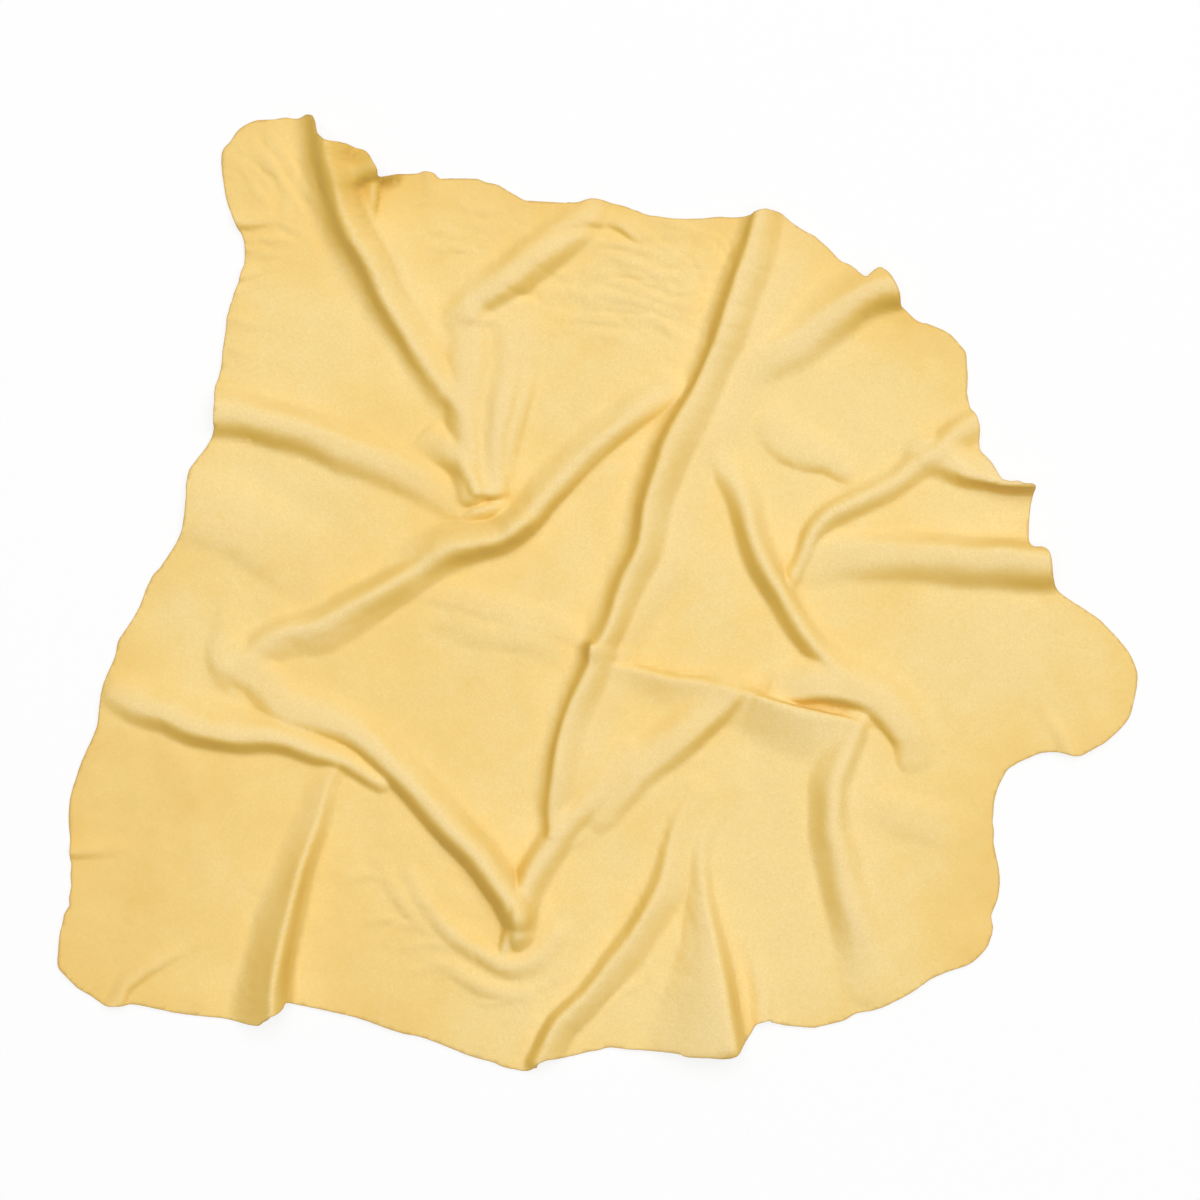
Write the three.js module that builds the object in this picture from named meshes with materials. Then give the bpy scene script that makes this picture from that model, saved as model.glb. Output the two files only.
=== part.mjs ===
// A chamois leather: one whole skin with its natural outline, thrown down loosely on a flat
// surface, so that it lies flat in places and stands up in long soft folds between them.
// Millimetres, +Z up. The skin rests on z = 0, +X is across the skin and +Y is towards its neck.

import * as THREE from "three";

// Driving dimensions of the skin as it lies
const hide_width = 780;
const hide_length = 690;
const leather_thickness = 1;
const fold_height = 20;

// Steps between the points along the folds and over the flat leather, and how close two may lie
const fold_step = 27;
const flat_step = 46;
const fine_step_share = 1 / 9;
const crest_clearance_share = 1 / 4;
const foot_clearance_share = 1 / 3;
const flat_clearance_share = 1 / 2;

// How far the upper face may stand off the lower one on a steep flank, in leather thicknesses
const bend_limit_share = 3.5;

// The cut edge, counter-clockwise from the left side, as shares of the width and the length
const edge_shares = [
  [0.012, 0.205], [0.011, 0.173], [0.002, 0.143], [0, 0.112], [0.013, 0.093], [0.032, 0.078],
  [0.054, 0.068], [0.08, 0.068], [0.11, 0.061], [0.15, 0.056], [0.182, 0.05], [0.201, 0.064],
  [0.208, 0.072], [0.23, 0.068], [0.265, 0.06], [0.293, 0.05], [0.32, 0.04], [0.35, 0.031],
  [0.38, 0.017], [0.41, 0.005], [0.437, 0], [0.456, 0.012], [0.48, 0.017], [0.51, 0.025],
  [0.54, 0.022], [0.574, 0.02], [0.615, 0.016], [0.634, 0.028], [0.645, 0.046], [0.659, 0.053],
  [0.675, 0.048], [0.7, 0.046], [0.73, 0.054], [0.755, 0.064], [0.79, 0.082], [0.818, 0.102],
  [0.847, 0.114], [0.864, 0.139], [0.866, 0.163], [0.872, 0.2], [0.867, 0.24], [0.867, 0.273],
  [0.875, 0.307], [0.892, 0.325], [0.922, 0.335], [0.946, 0.33], [0.97, 0.345], [0.992, 0.37],
  [1, 0.413], [0.99, 0.441], [0.964, 0.473], [0.93, 0.499], [0.919, 0.525], [0.911, 0.548],
  [0.9, 0.549], [0.9, 0.576], [0.904, 0.612], [0.896, 0.619], [0.871, 0.625], [0.854, 0.651],
  [0.853, 0.674], [0.846, 0.69], [0.842, 0.718], [0.842, 0.75], [0.83, 0.768], [0.8, 0.784],
  [0.78, 0.8], [0.775, 0.822], [0.761, 0.84], [0.748, 0.83], [0.728, 0.847], [0.701, 0.874],
  [0.67, 0.897], [0.638, 0.894], [0.6, 0.893], [0.56, 0.894], [0.53, 0.903], [0.496, 0.913],
  [0.47, 0.909], [0.435, 0.911], [0.406, 0.928], [0.375, 0.934], [0.352, 0.935], [0.343, 0.941],
  [0.317, 0.939], [0.298, 0.936], [0.295, 0.949], [0.275, 0.967], [0.25, 0.979], [0.247, 0.992],
  [0.233, 1], [0.212, 0.998], [0.185, 0.995], [0.164, 0.98], [0.152, 0.96], [0.154, 0.93],
  [0.16, 0.901], [0.17, 0.876], [0.173, 0.845], [0.164, 0.814], [0.157, 0.78], [0.152, 0.74],
  [0.146, 0.71], [0.146, 0.674], [0.131, 0.643], [0.12, 0.62], [0.118, 0.58], [0.108, 0.549],
  [0.089, 0.52], [0.076, 0.487], [0.057, 0.451], [0.048, 0.42], [0.039, 0.381], [0.03, 0.343],
  [0.014, 0.297], [0.01, 0.263], [0.012, 0.228],
];

// Each fold's crest as shares of the width and length, its height where it starts, halfway along and
// where it ends, and how far its flanks reach to the left and the right of the crest. A fold is as
// wide as it is high, so both are shares of the fold height
const folds = [
  {
    // Neck fold, from the top left corner down to the hook
    crest_shares: [
      [0.246, 1.005], [0.247, 0.954], [0.263, 0.889], [0.29, 0.823],
      [0.325, 0.757], [0.356, 0.709], [0.386, 0.674],
    ],
    height_shares: [1.15, 0.85, 0.2],
    reach_shares: [1.15, 0.8],
  },
  {
    // Ear flap beside the neck
    crest_shares: [[0.262, 0.932], [0.282, 0.944], [0.31, 0.942]],
    height_shares: [0.4, 0.5, 0.55],
    reach_shares: [0.8, 0.45],
  },
  {
    // Left shoulder fold
    crest_shares: [[0.14, 0.694], [0.18, 0.685], [0.25, 0.659], [0.33, 0.624], [0.37, 0.597]],
    height_shares: [0.6, 0.5, 0.15],
    reach_shares: [0.8, 0.95],
  },
  {
    // Pleat beside the neck fold, down to the hook
    crest_shares: [[0.384, 0.78], [0.385, 0.72], [0.383, 0.654], [0.388, 0.6]],
    height_shares: [0.4, 0.45, 0.45],
    reach_shares: [0.5, 1.2],
  },
  {
    // Pleat behind the hook
    crest_shares: [[0.436, 0.74], [0.424, 0.67], [0.42, 0.61]],
    height_shares: [0.15, 0.3, 0.35],
    reach_shares: [0.6, 0.6],
  },
  {
    // Diagonal fold, lower arm, ending in a round nose
    crest_shares: [
      [0.432, 0.574], [0.385, 0.556], [0.33, 0.529], [0.27, 0.488], [0.216, 0.459], [0.171, 0.426],
    ],
    height_shares: [0.65, 0.68, 0.3],
    reach_shares: [1.15, 0.45],
  },
  {
    // Diagonal fold, upper arm
    crest_shares: [[0.423, 0.569], [0.465, 0.619], [0.502, 0.663], [0.542, 0.698], [0.566, 0.713]],
    height_shares: [0.65, 0.55, 0.3],
    reach_shares: [0.65, 0.65],
  },
  {
    // Long middle fold, upper part
    crest_shares: [
      [0.649, 0.91], [0.623, 0.825], [0.588, 0.72], [0.555, 0.65],
      [0.542, 0.59], [0.519, 0.5], [0.5, 0.442],
    ],
    height_shares: [0.75, 0.85, 0.75],
    reach_shares: [1.1, 0.65],
  },
  {
    // Long middle fold, lower part
    crest_shares: [[0.501, 0.443], [0.475, 0.384], [0.458, 0.308], [0.456, 0.247]],
    height_shares: [0.75, 0.7, 0.35],
    reach_shares: [0.95, 0.6],
  },
  {
    // Cross fold on the right
    crest_shares: [
      [0.516, 0.424], [0.57, 0.411], [0.625, 0.399], [0.67, 0.383],
      [0.71, 0.372], [0.746, 0.359], [0.764, 0.315],
    ],
    height_shares: [0.3, 0.6, 0.15],
    reach_shares: [0.4, 1.45],
  },
  {
    // Rise on the other side of the cross fold's crease
    crest_shares: [[0.68, 0.408], [0.725, 0.405], [0.775, 0.379], [0.803, 0.335]],
    height_shares: [0.1, 0.45, 0.1],
    reach_shares: [1.2, 0.7],
  },
  {
    // Left flank fold
    crest_shares: [
      [0.05, 0.392], [0.1, 0.366], [0.16, 0.346], [0.222, 0.337], [0.27, 0.315], [0.299, 0.296],
    ],
    height_shares: [0.15, 0.45, 0.25],
    reach_shares: [1.15, 0.5],
  },
  {
    // Belly fold, left arm, from the nose
    crest_shares: [
      [0.159, 0.426], [0.184, 0.406], [0.212, 0.373], [0.264, 0.356],
      [0.319, 0.302], [0.38, 0.229], [0.424, 0.166],
    ],
    height_shares: [0.3, 0.55, 0.75],
    reach_shares: [0.95, 0.6],
  },
  {
    // Belly fold, right arm
    crest_shares: [[0.425, 0.148], [0.438, 0.206], [0.474, 0.267], [0.524, 0.334]],
    height_shares: [0.6, 0.5, 0.2],
    reach_shares: [0.6, 0.8],
  },
  {
    // Inner rise to the cross fold
    crest_shares: [[0.506, 0.268], [0.544, 0.312], [0.604, 0.369], [0.626, 0.392]],
    height_shares: [0.2, 0.45, 0.5],
    reach_shares: [1.2, 0.6],
  },
  {
    // Left hind fold, open at the edge
    crest_shares: [[0.26, 0.32], [0.24, 0.261], [0.216, 0.166], [0.201, 0.08], [0.199, 0.04]],
    height_shares: [0.15, 0.65, 0.9],
    reach_shares: [0.8, 0.85],
  },
  {
    // Tail fold
    crest_shares: [[0.444, 0.01], [0.474, 0.064], [0.532, 0.148], [0.566, 0.23], [0.586, 0.295]],
    height_shares: [0.5, 0.45, 0.1],
    reach_shares: [0.55, 0.9],
  },
  {
    // Right of the tail, down to the edge
    crest_shares: [[0.62, 0.285], [0.599, 0.23], [0.606, 0.158], [0.622, 0.07], [0.628, 0.025]],
    height_shares: [0.1, 0.45, 0.6],
    reach_shares: [0.6, 1.1],
  },
  {
    // Short fold beside it, open at the edge
    crest_shares: [[0.639, 0.13], [0.651, 0.065], [0.653, 0.02]],
    height_shares: [0.1, 0.45, 0.55],
    reach_shares: [0.55, 0.45],
  },
  {
    // Right hind fold
    crest_shares: [[0.74, 0.362], [0.719, 0.315], [0.713, 0.28], [0.728, 0.2], [0.752, 0.09]],
    height_shares: [0.55, 0.6, 0.05],
    reach_shares: [0.8, 0.85],
  },
  {
    // Right shoulder fold
    crest_shares: [
      [0.606, 0.656], [0.63, 0.612], [0.647, 0.552], [0.671, 0.495], [0.733, 0.422], [0.775, 0.375],
    ],
    height_shares: [0.2, 0.65, 0.2],
    reach_shares: [0.65, 0.65],
  },
  {
    // Upper right fold, ending in an ear at the edge
    crest_shares: [[0.626, 0.733], [0.678, 0.766], [0.718, 0.799], [0.76, 0.824], [0.785, 0.827]],
    height_shares: [0.2, 0.5, 0.85],
    reach_shares: [0.75, 1],
  },
  {
    // Right front fold
    crest_shares: [
      [0.682, 0.522], [0.698, 0.563], [0.733, 0.594], [0.78, 0.625], [0.83, 0.667], [0.86, 0.688],
    ],
    height_shares: [0.3, 0.48, 0.35],
    reach_shares: [0.55, 0.75],
  },
  {
    // Right front fold at the edge
    crest_shares: [[0.805, 0.643], [0.835, 0.628], [0.87, 0.617], [0.905, 0.615]],
    height_shares: [0.3, 0.6, 0.65],
    reach_shares: [0.8, 0.6],
  },
  {
    // Straight fold across the right front edge
    crest_shares: [[0.695, 0.543], [0.77, 0.549], [0.85, 0.544], [0.925, 0.539]],
    height_shares: [0.15, 0.5, 0.7],
    reach_shares: [0.35, 1.4],
  },
  {
    // Back fold under the top edge
    crest_shares: [[0.384, 0.789], [0.406, 0.812], [0.445, 0.844], [0.488, 0.871], [0.515, 0.875]],
    height_shares: [0.4, 0.45, 0.05],
    reach_shares: [0.75, 0.75],
  },
];

// A point of the skin in plan, from its shares of the width and the length
function plan_point(share) {
  return new THREE.Vector2((share[0] - 0.5) * hide_width, (share[1] - 0.5) * hide_length);
}

// A fold's crest as a smooth curve, cut into equal steps with a direction at each
function crest_stations(fold, step) {
  const plan = fold.crest_shares.map((share) => plan_point(share));
  const curve = new THREE.SplineCurve(plan);
  const count = Math.max(2, Math.round(curve.getLength() / step));
  const stations = [];
  for (let i = 0; i <= count; i += 1) {
    const along = i / count;
    stations.push({ along, at: curve.getPointAt(along), direction: curve.getTangentAt(along) });
  }
  return stations;
}

// Height of a fold's crest at a share of its length, smooth through its three heights
function crest_height(fold, along) {
  const [first, middle, last] = fold.height_shares;
  const upper = THREE.MathUtils.lerp(first, middle, THREE.MathUtils.smoothstep(along, 0, 0.5));
  const lower = THREE.MathUtils.lerp(middle, last, THREE.MathUtils.smoothstep(along, 0.5, 1));
  return fold_height * (along < 0.5 ? upper : lower);
}

// Height that one fold gives to a point: full at the crest, nothing where its flanks end
function fold_lift(fold, point) {
  let nearest = fold.fine_stations[0];
  for (const station of fold.fine_stations) {
    if (station.at.distanceToSquared(point) < nearest.at.distanceToSquared(point)) {
      nearest = station;
    }
  }
  const offset = point.clone().sub(nearest.at);
  const beyond = offset.dot(nearest.direction);
  const aside = nearest.direction.cross(offset);
  const reach = fold.reach_shares[aside > 0 ? 0 : 1] * fold_height;
  const spread = (aside / reach) ** 2 + (beyond / fold_height) ** 2;
  if (spread >= 1) {
    return 0;
  }
  return crest_height(fold, nearest.along) * (1 - spread) ** 2;
}

// Folds that meet run into one another instead of piling up
function lift_at(point) {
  let total = 0;
  for (const fold of folds) {
    total += fold_lift(fold, point) ** 3;
  }
  return Math.cbrt(total);
}

for (const fold of folds) {
  fold.fine_stations = crest_stations(fold, fold_step * fine_step_share);
}

const edge = edge_shares.map((share) => plan_point(share));

// Whether a point lies inside the cut edge
function inside_edge(point) {
  let inside = false;
  edge.forEach((from, i) => {
    const to = edge[(i + 1) % edge.length];
    if ((from.y > point.y) !== (to.y > point.y)) {
      const crossing = from.x + ((point.y - from.y) / (to.y - from.y)) * (to.x - from.x);
      if (point.x < crossing) {
        inside = !inside;
      }
    }
  });
  return inside;
}

// Points over the skin: its edge, the crests and feet of its folds, and a wide net between them
const plan = edge.slice();

function add_point(point, clearance) {
  const clear = plan.every((other) => other.distanceTo(point) > clearance);
  if (clear && inside_edge(point)) {
    plan.push(point);
  }
}

for (const fold of folds) {
  for (const station of crest_stations(fold, fold_step)) {
    add_point(station.at, fold_step * crest_clearance_share);
  }
}
for (const fold of folds) {
  const [left, right] = fold.reach_shares;
  for (const station of crest_stations(fold, fold_step)) {
    const across = new THREE.Vector2(-station.direction.y, station.direction.x);
    for (const foot of [left * fold_height, -right * fold_height]) {
      const point = station.at.clone().addScaledVector(across, foot);
      add_point(point, Math.min(fold_step * foot_clearance_share, Math.abs(foot)));
    }
  }
}
const rows = Math.ceil(hide_length / flat_step);
const columns = Math.ceil(hide_width / flat_step);
for (let row = 0; row <= rows; row += 1) {
  for (let column = 0; column <= columns; column += 1) {
    const shift = row % 2 === 0 ? 0 : 0.5;
    const share = [(column + shift) / columns, row / rows];
    add_point(plan_point(share), flat_step * flat_clearance_share);
  }
}

// Delaunay triangles over the points, found by adding them one at a time inside a large triangle
const outer_triangle_share = 20;

function circle_through(a, b, c) {
  const bx = b.x - a.x;
  const by = b.y - a.y;
  const cx = c.x - a.x;
  const cy = c.y - a.y;
  const twice_area = 2 * (bx * cy - by * cx);
  const x = (cy * (bx * bx + by * by) - by * (cx * cx + cy * cy)) / twice_area;
  const y = (bx * (cx * cx + cy * cy) - cx * (bx * bx + by * by)) / twice_area;
  return { x: a.x + x, y: a.y + y, squared: x * x + y * y };
}

function delaunay(points) {
  const far = outer_triangle_share * (hide_width + hide_length);
  const outer = [
    new THREE.Vector2(-far, -far),
    new THREE.Vector2(far, -far),
    new THREE.Vector2(0, far),
  ];
  const all = [...points, ...outer];
  const count = points.length;
  const make = (i, j, k) => ({ corners: [i, j, k], circle: circle_through(all[i], all[j], all[k]) });
  let triangles = [make(count, count + 1, count + 2)];
  for (let i = 0; i < count; i += 1) {
    const rim = new Map();
    const kept = [];
    for (const triangle of triangles) {
      const { x, y, squared } = triangle.circle;
      if ((all[i].x - x) ** 2 + (all[i].y - y) ** 2 >= squared) {
        kept.push(triangle);
        continue;
      }
      const [a, b, c] = triangle.corners;
      for (const [from, to] of [[a, b], [b, c], [c, a]]) {
        if (!rim.delete(`${to},${from}`)) {
          rim.set(`${from},${to}`, [from, to]);
        }
      }
    }
    for (const [from, to] of rim.values()) {
      kept.push(make(from, to, i));
    }
    triangles = kept;
  }
  const found = triangles.map((triangle) => triangle.corners);
  return found.filter((corners) => Math.max(...corners) < count);
}

const centre_of = (corners) => corners
  .reduce((sum, corner) => sum.add(plan[corner]), new THREE.Vector2())
  .divideScalar(corners.length);
const triangles = delaunay(plan).filter((corners) => inside_edge(centre_of(corners)));

// Underside heights, and the slope of the skin at each point from the triangles that share it
const lift = plan.map((point) => lift_at(point));
const steepness = plan.map(() => 0);
for (const [a, b, c] of triangles) {
  const from = new THREE.Vector3(plan[b].x - plan[a].x, plan[b].y - plan[a].y, lift[b] - lift[a]);
  const to = new THREE.Vector3(plan[c].x - plan[a].x, plan[c].y - plan[a].y, lift[c] - lift[a]);
  const normal = from.cross(to).normalize();
  for (const corner of [a, b, c]) {
    steepness[corner] = Math.max(steepness[corner], Math.min(1 / normal.z, bend_limit_share));
  }
}

// The closed skin: the same triangles above and below, joined by a wall around the cut edge
const positions = [];
plan.forEach((point, i) => positions.push(point.x, point.y, lift[i]));
plan.forEach((point, i) => positions.push(point.x, point.y, lift[i] + leather_thickness * steepness[i]));
const faces = [];
const borders = new Map();
const top = plan.length;
for (const [a, b, c] of triangles) {
  faces.push(c, b, a);
  faces.push(a + top, b + top, c + top);
  for (const [from, to] of [[a, b], [b, c], [c, a]]) {
    if (!borders.delete(`${to},${from}`)) {
      borders.set(`${from},${to}`, [from, to]);
    }
  }
}
for (const [from, to] of borders.values()) {
  faces.push(from, to, to + top);
  faces.push(from, to + top, from + top);
}

const skin_geometry = new THREE.BufferGeometry();
skin_geometry.setAttribute("position", new THREE.Float32BufferAttribute(positions, 3));
skin_geometry.setIndex(faces);
skin_geometry.computeVertexNormals();

const suede = new THREE.MeshStandardMaterial({ color: 0xf4d68a, roughness: 0.95, metalness: 0 });
const chamois_hide = new THREE.Mesh(skin_geometry, suede);
chamois_hide.name = "chamois_hide";

const chamois_leather = new THREE.Group();
chamois_leather.add(chamois_hide);

export default chamois_leather;
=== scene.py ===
import math

import bpy
import numpy as np
from mathutils.geometry import delaunay_2d_cdt
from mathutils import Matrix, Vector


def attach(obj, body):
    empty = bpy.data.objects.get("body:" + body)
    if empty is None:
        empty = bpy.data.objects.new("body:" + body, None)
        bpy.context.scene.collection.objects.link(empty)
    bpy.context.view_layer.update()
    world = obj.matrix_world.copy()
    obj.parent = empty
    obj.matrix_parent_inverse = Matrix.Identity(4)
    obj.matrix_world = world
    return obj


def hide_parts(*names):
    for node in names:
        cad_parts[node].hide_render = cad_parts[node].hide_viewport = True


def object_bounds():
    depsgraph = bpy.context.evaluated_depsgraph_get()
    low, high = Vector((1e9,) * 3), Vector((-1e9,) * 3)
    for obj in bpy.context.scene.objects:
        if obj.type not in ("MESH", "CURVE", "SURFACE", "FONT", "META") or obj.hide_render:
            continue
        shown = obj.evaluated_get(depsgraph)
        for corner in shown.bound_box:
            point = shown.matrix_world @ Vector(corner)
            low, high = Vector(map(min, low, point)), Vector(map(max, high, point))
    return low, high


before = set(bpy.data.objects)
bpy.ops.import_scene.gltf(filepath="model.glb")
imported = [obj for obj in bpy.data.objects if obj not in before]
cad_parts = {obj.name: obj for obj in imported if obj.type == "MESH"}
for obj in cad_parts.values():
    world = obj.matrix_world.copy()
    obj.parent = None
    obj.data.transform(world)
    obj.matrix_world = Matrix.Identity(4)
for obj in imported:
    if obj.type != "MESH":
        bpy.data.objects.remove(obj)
solid_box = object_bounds()

# The cut edge. A chamois leather is one whole skin, oil tanned and left with its natural outline: neck
# at the top left, front leg at the right, hind end along the bottom. The edge is only trimmed with a
# knife, so it runs in small waves and has no hem.

hide_width = round(solid_box[1][0] - solid_box[0][0], 3)
hide_length = round(solid_box[1][1] - solid_box[0][1], 3)
edge_step = 0.0021

# From the left side, counter-clockwise, in hundredths of the width and of the length
edge_outline = [
    (1.08, 18.2), (1.1, 17.3), (0.85, 16.9), (0.6, 16.3), (0.4, 15.2), (0.2, 14.3), (0.1, 13.2),
    (0.02, 12.0), (0, 11.2), (0.2, 10.6), (0.7, 10.0), (1.3, 9.3), (1.9, 8.65), (2.6, 8.2), (3.2, 7.8),
    (3.8, 7.3), (4.3, 6.95), (4.7, 6.8), (5.4, 6.8), (6.4, 6.97), (7.0, 7.0), (8.0, 6.83), (9.5, 6.47),
    (11.0, 6.1), (13.0, 5.8), (15.0, 5.57), (16.5, 5.27), (17.6, 5.03), (18.2, 4.97), (18.6, 5.02),
    (18.9, 5.4), (19.25, 5.7), (19.5, 6.05), (20.1, 6.4), (20.5, 6.7), (20.65, 7.0), (20.9, 7.25),
    (21.3, 7.2), (22.0, 7.0), (23.0, 6.78), (25.0, 6.32), (26.5, 5.95), (28.0, 5.5), (29.3, 5.0),
    (30.5, 4.5), (32.0, 3.96), (33.4, 3.66), (35.0, 3.05), (36.5, 2.37), (38.0, 1.67), (39.3, 1.25),
    (40.3, 0.95), (41.3, 0.45), (42.3, 0.2), (43.0, 0.05), (43.7, 0.0), (44.2, 0.1), (44.6, 0.3),
    (45.0, 0.77), (45.6, 1.2), (46.3, 1.37), (47.0, 1.47), (48.0, 1.7), (49.0, 2.0), (50.0, 2.19),
    (51.0, 2.47), (51.7, 2.45), (52.8, 2.3), (54.0, 2.22), (56.0, 2.1), (57.4, 1.96), (58.2, 1.7),
    (59.5, 1.65), (60.0, 1.67), (61.5, 1.6), (62.3, 1.75), (62.8, 2.05), (63.4, 2.8), (64.0, 3.62),
    (64.3, 4.1), (64.5, 4.57), (64.8, 4.95), (65.4, 5.2), (65.9, 5.32), (66.2, 5.1), (66.8, 4.95),
    (67.5, 4.8), (68.6, 4.68), (70.0, 4.56), (71.0, 4.8), (72.0, 5.05), (73.0, 5.42), (73.6, 5.86),
    (74.1, 6.1), (75.5, 6.4), (76.5, 6.77), (77.7, 7.4), (79.0, 8.2), (80.0, 8.98), (80.8, 9.6),
    (81.8, 10.15), (83.0, 10.65), (84.0, 11.0), (84.7, 11.4), (85.3, 12.0), (86.0, 12.9), (86.4, 13.9),
    (86.6, 14.9), (86.5, 15.7), (86.45, 16.3), (86.8, 17.3), (87.1, 18.3), (87.25, 20.0), (87.1, 21.5),
    (86.85, 22.8), (86.67, 24.0), (86.69, 25.2), (86.58, 26.0), (86.65, 27.3), (86.76, 28.5),
    (87.05, 29.6), (87.5, 30.65), (88.0, 31.6), (88.6, 32.05), (89.2, 32.45), (90.0, 32.85),
    (91.0, 33.3), (92.2, 33.45), (93.2, 33.3), (93.6, 33.15), (94.1, 33.0), (94.6, 33.0), (95.0, 33.15),
    (96.0, 33.8), (97.0, 34.45), (98.0, 35.42), (98.7, 36.22), (99.2, 37.0), (99.5, 37.95),
    (99.75, 39.2), (99.93, 40.3), (100, 41.3), (99.85, 42.2), (99.4, 43.4), (99.0, 44.1), (98.3, 45.1),
    (97.4, 46.2), (96.4, 47.3), (95.0, 48.4), (94.0, 49.1), (93.0, 49.9), (92.5, 50.5), (92.2, 51.2),
    (91.95, 52.2), (91.85, 53.2), (91.65, 54.2), (91.35, 54.65), (91.0, 54.78), (90.3, 54.8),
    (89.98, 55.2), (89.93, 56.3), (89.97, 57.6), (90.08, 59.0), (90.3, 60.25), (90.42, 61.2),
    (90.3, 61.75), (89.9, 61.9), (89.4, 61.9), (88.7, 62.1), (88.2, 62.05), (87.5, 62.17), (87.1, 62.5),
    (86.7, 63.2), (86.2, 63.97), (85.7, 64.57), (85.4, 65.1), (85.3, 66.0), (85.3, 67.35),
    (85.15, 68.1), (84.95, 68.7), (84.6, 69.2), (84.35, 70.0), (84.2, 71.1), (84.25, 71.8),
    (84.27, 73.0), (84.2, 73.9), (84.15, 75.0), (83.95, 75.5), (83.5, 76.1), (83.0, 76.75),
    (82.3, 77.4), (81.2, 77.95), (80.5, 78.25), (80.0, 78.35), (79.5, 78.6), (79.0, 79.1), (78.5, 79.7),
    (78.1, 80.1), (77.95, 80.6), (77.8, 81.4), (77.5, 82.2), (77.0, 83.15), (76.5, 83.75),
    (76.1, 83.97), (75.8, 83.85), (75.3, 83.4), (74.95, 83.05), (74.75, 82.97), (74.4, 83.25),
    (73.8, 83.95), (73.3, 84.4), (72.8, 84.65), (72.3, 85.0), (71.8, 85.65), (71.2, 86.3),
    (70.6, 86.85), (70.1, 87.35), (69.3, 87.8), (68.2, 88.55), (67.5, 89.2), (67.0, 89.65),
    (66.5, 89.85), (65.9, 89.95), (65.4, 89.8), (65.0, 89.65), (64.6, 89.5), (63.8, 89.4),
    (62.5, 89.33), (61.2, 89.4), (60.0, 89.25), (58.5, 89.2), (57.0, 89.2), (56.0, 89.35), (55.0, 89.5),
    (54.3, 89.7), (53.8, 89.96), (53.0, 90.3), (52.3, 90.6), (51.2, 90.88), (50.5, 91.1), (50.0, 91.25),
    (49.6, 91.3), (49.2, 91.25), (48.8, 91.1), (48.1, 90.87), (47.0, 90.9), (45.5, 90.97),
    (44.0, 91.05), (43.45, 91.07), (43.0, 91.25), (42.2, 91.78), (41.5, 92.25), (41.0, 92.6),
    (40.6, 92.8), (40.0, 92.95), (39.7, 93.0), (39.1, 93.3), (38.8, 93.4), (37.5, 93.43), (36.3, 93.43),
    (35.5, 93.4), (35.15, 93.53), (35.0, 93.75), (34.7, 94.03), (34.3, 94.15), (33.8, 94.13),
    (33.4, 93.95), (33.0, 93.9), (31.7, 93.85), (31.0, 93.75), (30.3, 93.6), (29.8, 93.6),
    (29.65, 93.85), (29.67, 94.35), (29.5, 94.9), (29.2, 95.4), (28.8, 95.97), (28.2, 96.4),
    (27.5, 96.65), (26.7, 97.0), (26.0, 97.3), (25.5, 97.63), (25.05, 97.95), (24.93, 98.2),
    (24.8, 98.7), (24.7, 99.2), (24.4, 99.67), (24.0, 99.9), (23.3, 100), (22.9, 99.85), (22.6, 99.73),
    (22.2, 99.65), (21.8, 99.68), (21.2, 99.8), (20.6, 99.7), (20.0, 99.6), (18.5, 99.53),
    (18.0, 99.35), (17.4, 99.05), (16.8, 98.55), (16.4, 98.0), (16.0, 97.3), (15.5, 96.7),
    (15.3, 96.35), (15.2, 95.8), (15.2, 95.0), (15.3, 93.7), (15.45, 92.5), (15.65, 91.3), (16.0, 90.1),
    (16.3, 89.2), (16.7, 88.3), (17.05, 87.6), (17.25, 87.0), (17.35, 86.2), (17.35, 85.0),
    (17.3, 84.4), (17.15, 84.0), (16.95, 83.4), (16.8, 82.7), (16.6, 82.1), (16.35, 81.4), (16.2, 80.8),
    (16.0, 80.1), (15.85, 79.4), (15.7, 78.8), (15.65, 78.0), (15.5, 76.8), (15.35, 75.8),
    (15.25, 74.8), (15.2, 74.0), (15.05, 73.1), (14.8, 72.2), (14.6, 71.6), (14.57, 71.0),
    (14.65, 70.0), (14.57, 69.0), (14.55, 68.1), (14.57, 67.4), (14.4, 66.7), (14.15, 66.0),
    (13.65, 65.1), (13.1, 64.3), (12.5, 63.4), (12.2, 62.85), (12.05, 62.1), (11.95, 61.3),
    (11.93, 60.0), (11.85, 59.2), (11.75, 58.0), (11.6, 57.0), (11.5, 56.5), (11.15, 55.65),
    (10.8, 54.9), (10.4, 54.2), (10.0, 53.5), (9.45, 52.65), (8.9, 52.0), (8.5, 51.2), (8.2, 50.5),
    (8.0, 49.9), (7.6, 48.7), (7.15, 47.7), (6.6, 46.7), (6.0, 45.7), (5.65, 45.1), (5.5, 44.4),
    (5.4, 43.7), (5.15, 42.9), (4.8, 42.0), (4.45, 41.0), (4.2, 40.0), (4.05, 39.1), (3.9, 38.1),
    (3.8, 37.2), (3.7, 36.3), (3.4, 35.3), (3.0, 34.3), (2.5, 33.1), (2.05, 31.9), (1.7, 30.7),
    (1.4, 29.7), (1.15, 28.5), (1.05, 27.5), (1.0, 26.3), (1.05, 25.4), (1.15, 24.4), (1.15, 22.8),
    (1.2, 22.0), (1.27, 21.7), (1.2, 20.5), (1.25, 19.3),
]


def on_hide(hundredths):
    """Points of the laid hide in metres, from hundredths of its width and length."""
    shares = np.array(hundredths, float) / 100 - 0.5
    return shares * (hide_width, hide_length)


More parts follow.
